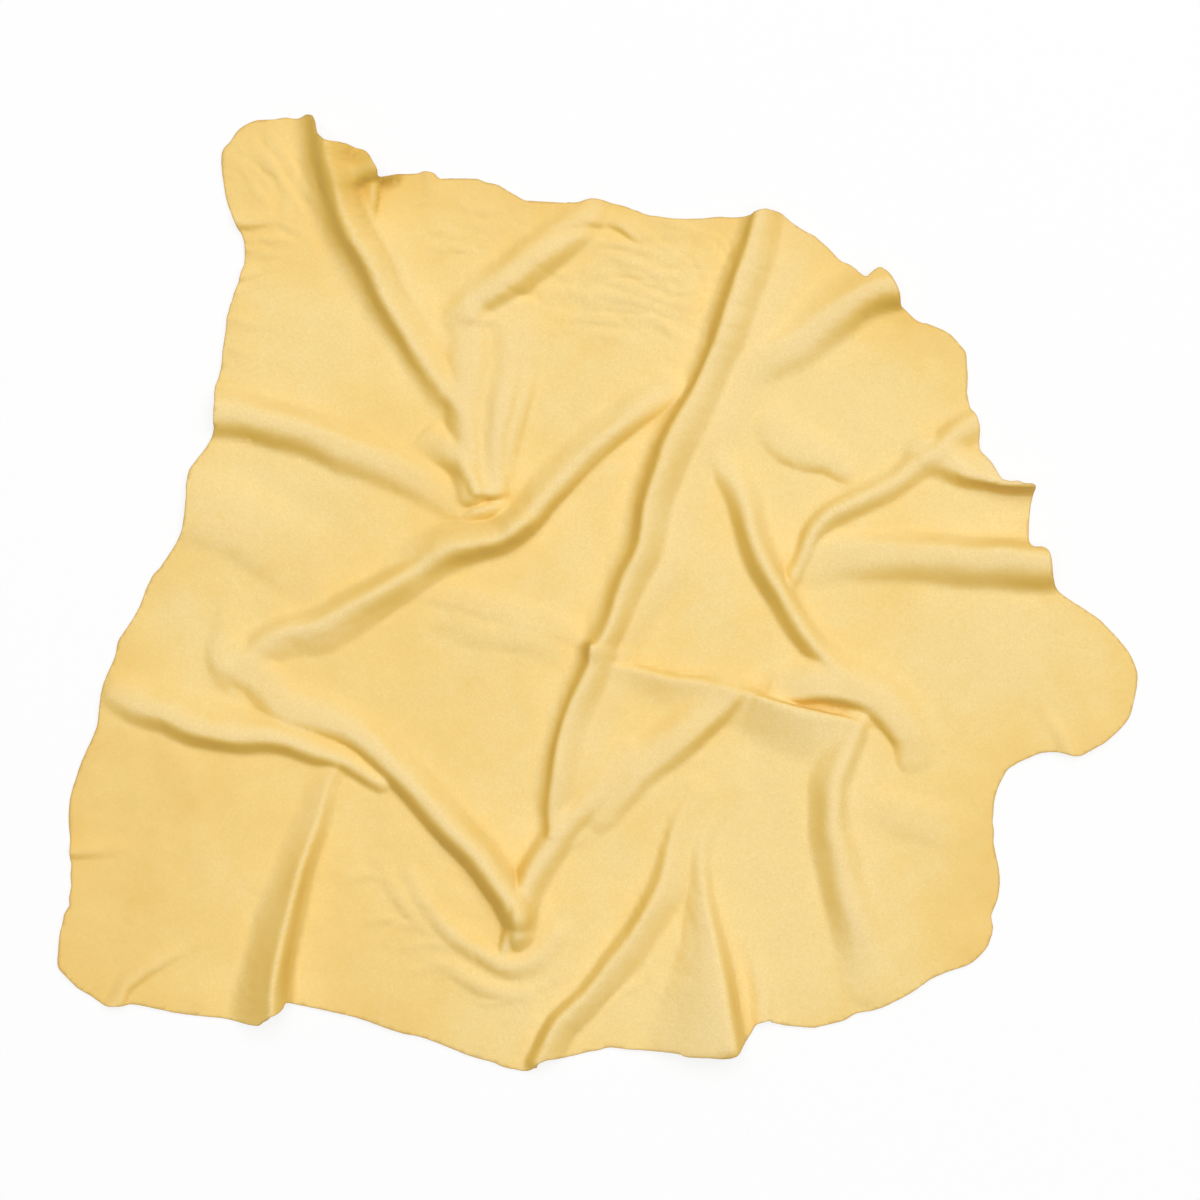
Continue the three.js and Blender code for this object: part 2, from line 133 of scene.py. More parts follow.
def smooth_path(points, step, closed=False, between=12):
    """A curve through the points, cut into steps of equal length. It is first worked out at a number
    of places between each two points."""
    if closed:
        padded = np.vstack([points[-1], points, points[:2]])
    else:
        padded = np.vstack([2 * points[0] - points[1], points, 2 * points[-1] - points[-2]])
    parts = []
    at = np.linspace(0, 1, between, endpoint=False)[:, None]
    for before, start, end, after in zip(padded, padded[1:], padded[2:], padded[3:]):
        pull_out, pull_in = (end - before) / 2, (after - start) / 2
        parts.append(
            (2 * at**3 - 3 * at**2 + 1) * start + (at**3 - 2 * at**2 + at) * pull_out
            + (3 * at**2 - 2 * at**3) * end + (at**3 - at**2) * pull_in
        )
    dense = np.vstack(parts + [padded[-2][None]])
    run = np.concatenate([[0], np.cumsum(np.linalg.norm(np.diff(dense, axis=0), axis=1))])
    count = max(3, round(run[-1] / step))
    stops = np.linspace(0, run[-1], count + 1)[: count if closed else count + 1]
    return np.stack([np.interp(stops, run, dense[:, axis]) for axis in (0, 1)], 1)


edge = smooth_path(on_hide(edge_outline), edge_step, closed=True)

# The folds. The skin was thrown down and left as it fell: the spare leather stands up in long soft
# folds, each with one steep flank and one that runs out gently, and where two meet they run together.

folds = []
crest_step = 0.0022


def even_run(values, count):
    """Values in millimetres spread evenly over a path's points and smoothed, in metres."""
    values = np.atleast_1d(np.array(values, float)) / 1000
    run = np.interp(np.linspace(0, 1, count), np.linspace(0, 1, len(values)), values)
    around = max(1, count // 9)
    weights = np.ones(2 * around + 1) / (2 * around + 1)
    return np.convolve(np.pad(run, around, mode="edge"), weights, "same")[around:-around]


# How a flank falls from its crest to its foot: the first number says how late it leaves the level of
# the crest, the second how gently it meets the table
full, hollow, rounded = (2.6, 1.2), (1.2, 2.6), (1.4, 1.7)


def fold(crest, height, left, right, lean=0.0, end=18.0, tail=0.0, forms=(None, None), pressed=False):
    """A fold along its crest. Its height and the reach of its flanks left and right of the way walked
    are millimetres, spread evenly along it, and end is its reach past its two ends. Lean says how far
    the crest is pushed over to the right, tail which share of the height runs out long on the left,
    forms how its left and its right flank fall, and pressed that it is a valley."""
    path = smooth_path(on_hide(crest), crest_step)
    way = np.gradient(path, axis=0)
    way /= np.linalg.norm(way, axis=1)[:, None]
    rightward = np.stack([way[:, 1], -way[:, 0]], 1)
    height = even_run(height, len(path))
    push = lean / 1000 * height / height.max()
    folds.append({
        "path": path - rightward * push[:, None], "height": height, "push": rightward * push[:, None],
        "left": even_run(left, len(path)) - push, "right": even_run(right, len(path)) + push,
        "end": end / 1000, "tail": tail, "forms": forms, "pressed": pressed,
    })


def valley(floor, depth, left, right, end=8.0):
    """A crease that is pressed into the raised leather along its floor, in the same measures."""
    fold(floor, depth, left, right, end=end, forms=(rounded, rounded), pressed=True)


# Neck and its fold, with the ear flap beside it
fold([(24.8, 101.5), (24.8, 99.5), (25.2, 95.4), (26, 91.7), (27, 88.9), (28.6, 85.2), (29.8, 82.3),
      (31, 79.7), (33.3, 75.8), (34.7, 73.3), (36.1, 71), (37.5, 69.1), (38.9, 67.3)],
     height=[23, 23, 21, 18, 14, 10, 3], left=[12, 14, 15, 15, 14, 12],
     right=[27, 28, 26, 24, 21, 19, 16], lean=9, tail=0.3, forms=(None, (1.6, 2.2)))
fold([(25.4, 92.8), (26.6, 93.5), (27.8, 94.2), (29.4, 94.7), (31, 94.9)],
     height=[9, 15, 19, 19], left=16, right=17, end=8, lean=3)
fold([(29.2, 93.4), (29.3, 92), (29.4, 90.7), (29.3, 89.6)],
     height=[10, 10, 8, 1], left=4.5, right=12, end=5, forms=(full, None))
valley([(29.9, 93.2), (30, 91.8), (29.9, 90.6), (29.7, 89.2)],
       depth=[1, 5, 4.5, 0.3], left=3.5, right=3.2, end=4)
fold([(26.9, 98.2), (27.6, 96.8), (28.1, 95.6)], height=[4, 4, 2], left=9, right=9, end=8)

# Left shoulder
fold([(13.6, 69.6), (16, 69.2), (18, 68.8), (20, 68.3), (22, 67.6), (25, 66.4), (28, 65.1), (30, 64.3),
      (33, 62.6), (35, 61.3), (37, 59.8)],
     height=[13, 13, 12, 10, 8, 3], left=[15, 15, 16], right=[22, 22, 22, 21, 18])

# Between the neck fold and the back the spare leather stands up in a band with three soft pleats in
# it, down to the hook, where the neck fold, the shoulder fold and the diagonal meet
fold([(37.6, 79.6), (38.3, 78), (38.4, 75.3), (38.5, 72.2), (38.3, 68.8), (38.3, 65.4), (38.4, 62.7),
      (38.7, 60.5)],
     height=[7, 8, 9, 10, 10, 10], left=[20, 19, 17, 14], right=[24, 22, 18], end=14)
fold([(41.4, 80), (41.4, 76), (41.3, 72), (41, 68), (40.8, 64), (40.5, 61)],
     height=[3, 7, 9, 9.5, 9], left=[34, 30, 24, 19, 13], right=[24, 24, 24, 20], end=12)
valley([(40, 77.6), (40.4, 75), (40.1, 72.2), (39.6, 70.4), (39.4, 68.8), (39.3, 65.4), (39.2, 63)],
       depth=[2.6, 4, 3.8, 3.6, 3.2, 0.8], left=11, right=12)
valley([(43.5, 76.4), (42.9, 72.2), (42.2, 68.8), (41.7, 66.1), (41.5, 63.4)],
       depth=[0.3, 2, 2.4, 2.4, 1.4], left=7, right=6)
valley([(45.6, 76.6), (45.2, 72.2), (44.1, 68.8), (43.6, 65.4), (43.4, 62.7)],
       depth=[0.2, 1.2, 1.5, 2.2, 1.6], left=7, right=7)
fold([(44.9, 82.5), (44.9, 80.5), (44.5, 79)], height=[0.5, 2, 0.5], left=9, right=9)
fold([(34.6, 66.8), (36.1, 65.2), (37.3, 63.6), (38.2, 62.2), (38.8, 60.6)],
     height=[3, 8, 10, 10], left=12, right=[19, 18, 12, 7], end=6)
fold([(38.4, 60.9), (39.4, 60.8), (40.3, 60.8), (41, 61.1), (41.6, 61.9)],
     height=[7, 8, 8, 6, 2], left=[9, 8], right=[12, 10], lean=1, end=6)
fold([(37.2, 58), (38.4, 58.4), (39.4, 58.8), (40.4, 59.2), (41.3, 59.9)],
     height=[2, 7, 9, 8, 3], left=[7, 6], right=[12, 12, 11], end=5)
valley([(41, 58.2), (41.8, 58.8), (42.5, 59.6), (43.1, 60.6), (43.6, 62)],
       depth=[0.2, 1, 1.4, 1.2, 0.2], left=11, right=10)

# The long diagonal, lower arm round its nose, then upper arm
fold([(43.2, 57.4), (41, 55.6), (38.5, 55), (36, 54.4), (34, 53.2), (31.8, 51.7)],
     height=[13, 15, 16, 16, 11, 2], left=[12, 13, 16, 19, 20], right=[18, 18, 22, 20], end=12,
     forms=((2.1, 2.4), (1.6, 1.3)))
fold([(37, 54.9), (35, 53.8), (33, 52.5), (30, 50.5), (27, 48.4), (24, 46.5), (21.6, 45.9),
      (19.5, 44.8), (17.1, 42.7), (16, 41.9)],
     height=[2, 9, 15, 15, 12, 9, 7, 4], left=[18, 20, 21, 22, 18, 14], right=[12, 13, 14, 15, 16],
     end=20, forms=((1.6, 1.4), None))
fold([(16, 49.6), (15, 46.4), (14.8, 43.2), (15.6, 41.2), (17, 40.2)],
     height=[0.5, 2.5, 3.8, 3.8, 1.5], left=16, right=11, end=12)
fold([(42.3, 56.9), (43.7, 58.1), (45, 59.9), (46.5, 61.9), (48.2, 64.1), (50.2, 66.3), (52.2, 68.1),
      (54.2, 69.8), (56.6, 71.3)],
     height=[13, 12, 11, 10, 6], left=[20, 19, 17, 14, 14], right=[12, 13, 14],
     forms=((1.6, 1.4), full))

# The long middle fold, its foot, and the cross fold with its lip
fold([(65, 91), (63.9, 86), (62.8, 82.5), (61.7, 79), (60.7, 75.7), (59.3, 72), (58.1, 69), (57.15, 67),
      (56.15, 65), (55.2, 62), (54.45, 59), (54.1, 56.5), (53.6, 54), (52.1, 50), (51.1, 47),
      (50, 44.2)],
     height=[15, 16, 17, 17, 17, 15], left=[22, 21, 20, 20, 18, 11], right=[14, 15, 16, 18, 20],
     lean=4.5, tail=0.35, forms=(None, (1.4, 2.3)))
fold([(50.1, 44.3), (49, 41.6), (47.6, 38.4), (46.6, 34.9), (46, 30.8), (45.6, 28.1), (45.7, 24.7)],
     height=[15, 15, 14, 12, 7], left=[14, 18, 19, 14], right=[17, 16, 15, 13], lean=5, end=7,
     tail=0.35, forms=(None, (1.4, 2.3)))
fold([(46.2, 27), (48, 30.2), (49.7, 32.8), (51.5, 34.5)], height=[2, 3, 1], left=10, right=5, end=8)
fold([(51.6, 42.4), (53.9, 41.8), (57, 41.1), (60, 40.5), (62.5, 39.9), (64.8, 39.1), (67, 38.3)],
     height=[6, 8, 8, 9, 10], left=[5, 5, 6, 6], right=[24, 27, 32], forms=(None, (1.4, 1.9)))
fold([(65, 39.05), (67.5, 38.2), (69.2, 37.6), (71, 37.2), (72.8, 36.9), (74, 36.4), (75, 35.4)],
     height=[10, 12, 12.5, 11, 8, 3], left=[3, 3, 3, 3, 5], right=[32, 36, 38, 34, 26], lean=-5, end=12,
     forms=(None, (1.4, 1.9)))
fold([(66.8, 39.3), (69, 39.4), (71.5, 39.6), (73.5, 39.4), (75.4, 38.4), (77.2, 36.6), (78.3, 34.8),
      (78.6, 32.8)],
     height=[4, 10, 12, 12, 11, 9, 2], left=[26, 34, 30, 24], right=[6, 8, 10, 12, 11, 8], end=12,
     forms=(None, full))

# Left flank and the two arms of the belly fold. The upper one starts from the diagonal's nose
fold([(5, 39.6), (8, 37.8), (10, 37.1), (13, 35.8), (16, 35.1), (19.5, 34.9), (22.2, 34.3),
      (24.6, 33.2), (27, 32), (28.3, 31.1), (29.9, 30)],
     height=[4, 12, 13.5, 12, 10, 8, 5], left=[20, 21, 20, 16, 13], right=[15, 14, 13, 11, 9], end=9,
     forms=(None, (2, 2.2)))
fold([(15.9, 42.6), (17.2, 41.6), (18.4, 40.6), (19.7, 39), (21.4, 37.5), (24.3, 36.9), (26.7, 35.9),
      (29.2, 33.9), (32.2, 30.5), (35.5, 26.6), (38.3, 23.2), (40.5, 20.2), (41.8, 18.1), (42.5, 16.6)],
     height=[6, 7, 8, 11, 14, 17, 16], left=[26, 20, 17, 16], right=[14, 13, 13, 13.5, 13.5],
     forms=(None, (2.3, 1.4)))
fold([(42.5, 17), (41.9, 15), (41.5, 13.4), (41.3, 12.3)],
     height=[11, 9, 6, 4], left=7, right=5, end=5, forms=(None, full))
fold([(42.5, 14.8), (42.9, 17.8), (43.8, 20.6), (45, 23), (47.4, 26.7), (49.8, 29.8), (52.4, 33.4)],
     height=[12, 11, 10, 8, 4], left=[9, 12, 14], right=[15, 17, 18])
fold([(50.6, 26.8), (52.5, 28.9), (54.4, 31.2), (57.2, 33.6), (60.4, 36.9), (62.6, 39.2)],
     height=[4, 7, 9, 10, 10], left=24, right=12)

# Hind folds, from left to right, two of them open at the edge
fold([(26, 32), (25.2, 30.2), (24, 26.1), (22.8, 22), (21.6, 16.6), (20.7, 12), (20.1, 8), (19.9, 4)],
     height=[3, 9, 14, 20, 25.5, 25.5], left=[9, 10, 12.5, 13.5], right=[15, 21, 29, 33], lean=-4,
     forms=((1.15, 1.15), (1.1, 1.7)))
fold([(44.4, 1), (46.2, 4.8), (47.4, 6.4), (50.3, 10.3), (53.2, 14.8), (55.6, 19.5), (56.6, 23),
      (57.4, 26.5), (58.6, 29.5)],
     height=[12, 13, 12, 11, 7, 2], left=12, right=[17, 19, 22, 28], lean=-4,
     forms=(hollow, (1.6, 1.9)))
fold([(62.4, 29.2), (60.7, 26.6), (59.6, 23.2), (59.7, 19.5), (60.3, 15.8), (61.2, 11.4), (61.9, 7),
      (62.4, 2.5)],
     height=[1, 3, 6, 9, 15, 21, 22], left=[14, 10, 8, 9, 10, 10.5], right=[8, 8, 12, 26, 48, 66],
     lean=-2, forms=((1.3, 1.2), (1.3, 1.1)))
fold([(64.2, 13), (64.9, 9.5), (65.3, 6.5), (65.5, 2)], height=[1, 4, 5, 5], left=11, right=11, end=14)
fold([(74.2, 36.2), (73.1, 33.5), (72.3, 31.5), (71.8, 29.8), (71.7, 28), (71.8, 25.5), (72.2, 23.2),
      (72.8, 20), (73.6, 17), (74.2, 14), (75.2, 9)],
     height=[9, 13, 14, 13, 9, 3], left=[10, 14, 17, 20], right=[16, 20, 21, 21], tail=0.3,
     forms=(None, (1.9, 1.7)))
fold([(73, 29), (76, 27.8), (80, 26.8), (84, 25.5)], height=[2, 3.5, 3, 1], left=16, right=22)

# Right shoulder and front leg
fold([(60.6, 65.6), (61.7, 63.6), (63, 61.2), (63.9, 58.5), (64.7, 55.2), (65.8, 52), (67, 49.4),
      (68.3, 47.2), (70.5, 44.2), (72.7, 41.9), (75, 39.5), (77, 37.3)],
     height=[2, 9, 13, 14, 13, 9, 6, 3.5], left=[18, 13, 11, 11, 11], right=[16, 14, 13, 12, 13, 15])
fold([(62.6, 73.3), (64.8, 74.9), (67.8, 76.6), (69.8, 78.1), (71.8, 79.9), (73.8, 81.5), (76, 82.4),
      (77.5, 82.5), (79, 82.7)],
     height=[3, 8, 12, 15, 18], left=[20, 22, 24, 24], right=[26, 26, 24, 18], forms=((1.5, 2.2), None))
fold([(68.2, 52.2), (68.9, 54), (69.8, 56.3), (71.3, 58), (73.3, 59.4), (75.5, 60.9), (78, 62.5),
      (81, 64.8), (83, 66.7), (86, 68.8)],
     height=[6, 9, 10, 9, 9, 8, 7], left=[8, 9, 11], right=[9, 13, 15, 17])
fold([(72.9, 62.8), (71.4, 63.9), (69.4, 64.6), (67.6, 65.8), (66, 68)],
     height=[4, 6, 5, 2], left=[9, 14, 16], right=[14, 24, 20], end=12, forms=(full, None))
fold([(80.5, 64.3), (82, 63.7), (83.5, 62.8), (85, 62.2), (87, 61.7), (88.5, 61.6), (91.5, 61.4)],
     height=[6, 10, 14, 17, 17], left=[22, 18, 14, 12], right=[16, 11, 8, 8], lean=3)
fold([(69.5, 54.3), (73, 54.9), (77, 54.9), (81, 54.7), (85, 54.4), (90, 54.1), (93, 53.9)],
     height=[3, 8, 12, 15, 16], left=[16, 12, 9], right=28)

# Back, under the top edge
fold([(38.3, 79), (38.9, 80.3), (40.5, 81.4), (42.5, 82.9), (44.4, 84.7), (46.4, 86.6), (48.2, 88.1),
      (49.5, 89.6), (50, 91.6)],
     height=[8, 11, 12, 10, 7, 4], left=[20, 20, 22, 20, 16], right=[13, 15, 15, 14], end=10)
valley([(45.6, 87.9), (47.1, 88), (49.3, 88.4), (50.6, 88.2), (52.2, 87.6)],
       depth=[0.3, 1.8, 2.4, 2.2, 0.3], left=4.5, right=8)
fold([(50.8, 89.4), (52.3, 88.6), (53.6, 87.2), (54.9, 86.2)],
     height=[1, 3, 2.4, 0.5], left=9, right=4.5, end=6)

# Low swells of the flat leather
fold([(33, 50.3), (36, 49.5), (39, 48.5), (42, 47.3), (45, 46.3), (48, 45.1)],
     height=[1, 3, 3, 2], left=20, right=10)
fold([(36, 47.5), (40, 46), (44, 45.3), (47, 43.8)], height=[1, 3, 3, 1], left=16, right=16)
fold([(11, 58.6), (14, 58.1), (17, 56.6), (19, 55.1), (21, 53.6), (23.5, 52)],
     height=[4, 4, 4, 2], left=40, right=25)

# Ripples round the foot of the belly fold
fold([(33, 20), (34.5, 17), (36.6, 14.6), (39, 12.7), (41.5, 11.2), (44, 11.6), (46, 14)],
     height=[2, 5, 6, 5, 3], left=10, right=13)
fold([(30, 21.5), (31.5, 18.5), (33, 16.2), (35, 14)], height=[1, 2.5, 1], left=12, right=8)
fold([(35.5, 11), (38, 9.5), (41, 8.3), (43, 8)], height=[1, 3, 3, 1], left=9, right=9)

# Fine wrinkles, where the leather is thin and dries stiff: between neck and back, over the neck itself
# and round the belly fold
for height, reach, crease in (
    (1.5, 6, [(50, 85.8), (53, 84.6), (55, 83.6), (57.5, 82.6)]),
    (1.3, 5, [(48, 86.6), (51, 86.9), (54, 86.1), (57, 84.4)]),
    (1.2, 5, [(51.5, 84.6), (53.5, 83.4), (56, 82), (59.5, 81.4)]),
    (1.4, 6, [(49, 83.6), (52, 82.4), (54.5, 81.3), (58, 80.2), (60, 79.6)]),
    (1.3, 6, [(49, 81.6), (52.5, 80.9), (55, 80), (57, 79)]),
    (1.4, 6, [(53, 79.5), (55.5, 78.5), (57.3, 77.2), (58.8, 76)]),
    (1.3, 5, [(52, 89.5), (53.5, 88.6), (54.8, 87.2), (57, 86.2)]),
    (1.2, 5, [(55, 89.4), (57, 88.7), (59, 87.9), (61, 87.3)]),
    (1.0, 5, [(43, 88.5), (44.5, 86.9), (46.4, 85.9)]),
    (1.2, 7, [(46, 79.4), (49, 79), (52, 78.6)]),
    (0.9, 6, [(47.5, 77.2), (50.5, 76.9), (53.5, 76.6)]),
    (1.1, 7, [(45.6, 82), (48, 81.4), (50, 80.3)]),
    (1.0, 5, [(34, 88.4), (36.5, 87.7), (39, 87.9)]),
    (1.3, 6, [(33.2, 86.6), (36, 86.2), (39.4, 86.4)]),
    (1.2, 6, [(36.5, 91.4), (38.5, 90.5), (41.5, 90.4)]),
    (0.9, 6, [(17.5, 97.6), (19.4, 95), (21.4, 92.2), (23, 90.4)]),
    (0.8, 5, [(19.8, 97.8), (21.4, 95.2), (22.9, 92.9)]),
    (0.8, 5, [(16.8, 94.3), (18.8, 91.6), (21, 89.4)]),
    (0.9, 5, [(18.4, 91.2), (20.6, 88.9), (23.4, 87.1)]),
    (1.2, 5, [(16.4, 86.9), (19.4, 87.1), (22.7, 86.5)]),
    (1.0, 5, [(17.2, 85.4), (19.2, 85.5), (21.4, 85)]),
    (0.8, 6, [(14.8, 78), (17, 78.3), (19.6, 77.6)]),
    (0.8, 6, [(14.2, 75.4), (16.6, 75.4), (19.4, 74.8)]),
    (1.1, 5, [(31, 12.8), (34, 13.6), (37.4, 12.6)]),
    (1.2, 6, [(32.4, 10.4), (35.4, 11), (38.4, 10), (41, 9.2)]),
    (1.3, 5, [(38.4, 7.2), (41.4, 7.4), (44.4, 8.6), (47.2, 10.4)]),
    (1.0, 5, [(27, 15.4), (30, 15.9), (33.4, 15.2), (36, 13.8)]),
    (1.2, 5, [(43.2, 10.2), (45.4, 12.2), (47, 14.6)]),
    (1.0, 6, [(26.4, 20), (29.4, 20.4), (32.4, 19.5)]),
    (1.0, 5, [(49.8, 5.4), (52.4, 8.2), (55.4, 10.4)]),
    (1.2, 6, [(57, 15.6), (57.8, 12.2), (58.8, 8.4)]),
    (0.9, 5, [(55.4, 8.4), (57.4, 6.9), (59.4, 4.4)]),
):
    fold(crease, [0, height, height, 0], left=reach, right=reach, end=5)

# Short creases at the cut edge
fold([(4.8, 6.2), (5.8, 7.5), (6.5, 9), (8, 10.3), (10, 11.5), (12, 12.8)],
     height=[5, 4.5, 3, 0.5], left=12, right=6)
fold([(0, 22.9), (1.5, 22.9), (3, 23), (5, 23.2)], height=[4, 3, 1], left=11, right=6)
fold([(15.8, 88.9), (18, 88.9), (20.5, 89.2)], height=[4.5, 3, 0.5], left=9, right=5)
fold([(16, 86.3), (17.6, 86), (19.4, 86.1)], height=[3, 1.5, 0.3], left=8, right=4)
fold([(15.6, 83.1), (17.3, 83.3), (19, 83.9)], height=[4, 2.5, 0.5], left=8, right=5)
fold([(15.2, 81.4), (16.6, 81.6), (18.2, 82.3)], height=[3, 1.5, 0.3], left=6, right=4)
fold([(14.6, 78.6), (16.4, 78.7), (18, 78.9)], height=[2, 1, 0.2], left=7, right=5)
fold([(94.1, 32.5), (93.5, 34.7), (92.7, 36), (91.8, 37)], height=[3.5, 3, 0.5], left=11, right=6)
fold([(34.6, 95), (34.7, 92.3), (34.6, 90.9)], height=[4, 2, 0.5], left=6, right=9)


def along_path(points, path):
    """How far along a path each point lies, how far to its left, and how far past an end."""
    best = np.full(len(points), np.inf)
    place, aside, beyond = (np.zeros(len(points)) for _ in range(3))
    last = len(path) - 2
    for i, (start, end) in enumerate(zip(path, path[1:])):
        run = end - start
        length = np.linalg.norm(run)
        run = run / length
        offset = points - start
        forward = offset @ run
        nearest = np.clip(forward, 0, length)
        off = offset - nearest[:, None] * run
        distance = np.einsum("ij,ij->i", off, off)
        closer = distance < best
        best[closer] = distance[closer]
        place[closer] = i + nearest[closer] / length
        side = run[0] * offset[:, 1] - run[1] * offset[:, 0]
        past = np.zeros(len(points))
        if i == 0:
            past = np.minimum(forward, 0)
        if i == last:
            past = np.where(forward > length, forward - length, past)
        at_end = (past != 0) & closer
        aside[closer] = np.where(side < 0, -1, 1)[closer] * np.sqrt(distance[closer])
        aside[at_end] = side[at_end]
        beyond[closer] = past[closer]
    return place, aside, beyond


def flank(aside, beyond, reach, end, form=None):
    """Share of a fold's height beside its crest. Where no form is given, a wide flank stays level
    longer than a narrow one before it drops."""
    out = np.sqrt((aside / reach) ** 2 + (beyond / end) ** 2)
    narrow, widening = 0.014, 0.008
    late, gentle = form or (2 + 1.4 * np.clip((reach - narrow) / widening, 0, 1), 2)
    return np.clip(1 - out**late, 0, 1) ** gentle


def folded(points):
    """Height of the leather over each point, how far it is pushed over, and how much it needs a fine
    net. Folds that meet run together, and the creases are taken off them."""
    # Crests waver by 1 mm, heights are 5% uneven, and a tail reaches three times as far as its flank
    waver, uneven, tail_reach, push_falls = 0.0010, 0.05, 3, 1.5
    # A flank with no form needs a fine net below a reach of 20 mm, one with a form below 30 mm
    gentle_reach, gentle_range, fine_beyond = 0.02, 0.01, 1.5
    waves = [swell(points, wavelength=0.06, seed=41), swell(points, wavelength=0.055, seed=43)]
    points = points + waver * np.column_stack(waves)
    total, steep, sunk = (np.zeros(len(points)) for _ in range(3))
    push = np.zeros((len(points), 2))
    for one in folds:
        path, end, tail, (left_form, right_form) = one["path"], one["end"], one["tail"], one["forms"]
        widest = max(one["left"].max() * (tail_reach if tail else 1), one["right"].max(), 2 * end)
        within = (points > path.min(0) - widest) & (points < path.max(0) + widest)
        near = np.nonzero(within.all(1))[0]
        if not len(near):
            continue
        place, aside, beyond = along_path(points[near], path)
        stations = np.arange(len(path))
        measures = one["height"], one["left"], one["right"]
        height, left, right = (np.interp(place, stations, measure) for measure in measures)
        never_zero = 1e-12
        on_left = np.clip((aside / np.sqrt(aside**2 + beyond**2 + never_zero) + 1) / 2, 0, 1)
        on_left = on_left**2 * (3 - 2 * on_left)
        to_left = flank(aside, beyond, left, end, left_form)
        if tail:
            to_left = (1 - tail) * to_left + tail * flank(aside, beyond, tail_reach * left, 2 * end)
        to_right = flank(aside, beyond, right, end, right_form)
        share = on_left * to_left + (1 - on_left) * to_right
        if one["pressed"]:
            sunk[near] = np.maximum(sunk[near], height * share)
        else:
            total[near] += (height * share) ** 3
        shove = np.stack([np.interp(place, stations, one["push"][:, axis]) for axis in (0, 1)], 1)
        reach = np.where(aside > 0, left, right)
        level = flank(aside, beyond, reach, end)
        push[near] += shove * np.where(aside > 0, level, level * share)[:, None] ** push_falls
        formed = np.where(aside > 0, left_form is not None, right_form is not None)
        narrow = np.clip((gentle_reach + gentle_range * formed - reach) / gentle_range, 0, 1)
        on_flank = (aside / reach) ** 2 + (beyond / end) ** 2 < fine_beyond
        steep[near] = np.maximum(steep[near], narrow * on_flank)
    height = np.maximum(np.cbrt(total) - sunk, 0)
    return height * (1 + uneven * swell(points, wavelength=0.07, seed=47)), push, steep


# The leather itself. It is 1 mm thick, soft and even, lies on the table between its folds, and has a
# square cut edge. The net of points is finer along the folds and where the leather wrinkles than over
# the flat leather, and the underside's net is half as fine as the top's.

leather = 0.0010
fine_step = 0.00198


def swell(points, wavelength, seed, terms=14):
    """Slow random waves of the flat leather, mostly between -1 and 1."""
    chance = np.random.default_rng(seed)
    angle = chance.uniform(0, math.tau, terms)
    number = math.tau / (wavelength * chance.uniform(0.7, 1.6, terms))
    phase = chance.uniform(0, math.tau, terms)
    waves = np.sin((points[:, :1] * np.cos(angle) + points[:, 1:] * np.sin(angle)) * number + phase)
    return waves.sum(1) / math.sqrt(terms)


def read_off(table, cell, share):
    """Values of a table between its places, from each point's cell and its share of the way across."""
    total = np.zeros(len(cell))
    for one in (0, 1):
        for other in (0, 1):
            weight = np.abs(1 - one - share[:, 0]) * np.abs(1 - other - share[:, 1])
            corner = (cell[:, 0] + one) % len(table), (cell[:, 1] + other) % table.shape[1]
            total += weight * table[corner]
    return total


def scattered(points, cell, seed):
    """Smooth random values over the plane, between -1 and 1, that change over one cell."""
    table = np.random.default_rng(seed).uniform(-1, 1, (101, 101))
    base = np.floor(points / cell).astype(int)
    share = points / cell - base
    return read_off(table, base, share**2 * (3 - 2 * share))


def patches(points, rows):
    """Soft patches on the hide, added up. Each row holds a patch's place and reach, in hundredths of
    the width and the length, and its strength."""
    total = np.zeros(len(points))
    for u, v, wide, long, strength in rows:
        off = (points - on_hide([(u, v)])[0]) / (wide * hide_width / 100, long * hide_length / 100)
        total += strength * np.exp(-(off**2).sum(1))
    return total


def creased(points, turn, seed):
    """Irregular wrinkles that lie one way, longer than they are wide: narrow creases between waves."""
    stretch, wander, broad, narrow = 3.2, 0.009, 0.015, 0.007
    narrow_share, crease_width, softness = 0.45, 0.45, 0.8
    along, across = [math.cos(turn), math.sin(turn)], [-math.sin(turn), math.cos(turn)]
    laid = np.column_stack([points @ along / stretch, points @ across])
    drift = [scattered(points, cell=0.031, seed=seed + 1), scattered(points, cell=0.027, seed=seed + 2)]
    laid = laid + wander * np.column_stack(drift)
    value = scattered(laid, broad, seed) + narrow_share * scattered(laid, narrow, seed + 3)
    return np.clip(np.abs(value) / crease_width, 0, 1) ** softness


def wrinkled(points):
    """Height of the fine wrinkles, where the leather is thin and dries stiff: at the neck, under the
    back's edge and round the belly fold's foot."""
    usual_height = 0.0010
    lying = 0.15 + patches(points, [
        (54, 83, 10, 7, 1.65), (40, 88, 9, 6, 0.8), (38, 13, 11, 8, 0.36), (27, 17, 8, 6, 0.38),
        (16, 81, 4, 9, 0.4), (48, 6, 8, 4, 0.4), (60, 86, 8, 4, 0.3),
    ])
    upright = 0.1 + patches(points, [
        (19, 93, 6, 6, 0.9), (57, 14, 5, 10, 0.4), (79, 76, 6, 8, 0.3), (88, 56, 6, 8, 0.2),
    ])
    level = 0.65 * creased(points, turn=-0.12, seed=21) + 0.55 * creased(points, turn=-0.62, seed=25)
    return usual_height * (lying * level + upright * creased(points, turn=2.15, seed=31))


def edge_distance(points):
    """Distance of each point from the cut edge."""
    best = np.full(len(points), np.inf)
    for start in edge:
        offset = points - start
        best = np.minimum(best, offset[:, 0] ** 2 + offset[:, 1] ** 2)
    return np.sqrt(best)


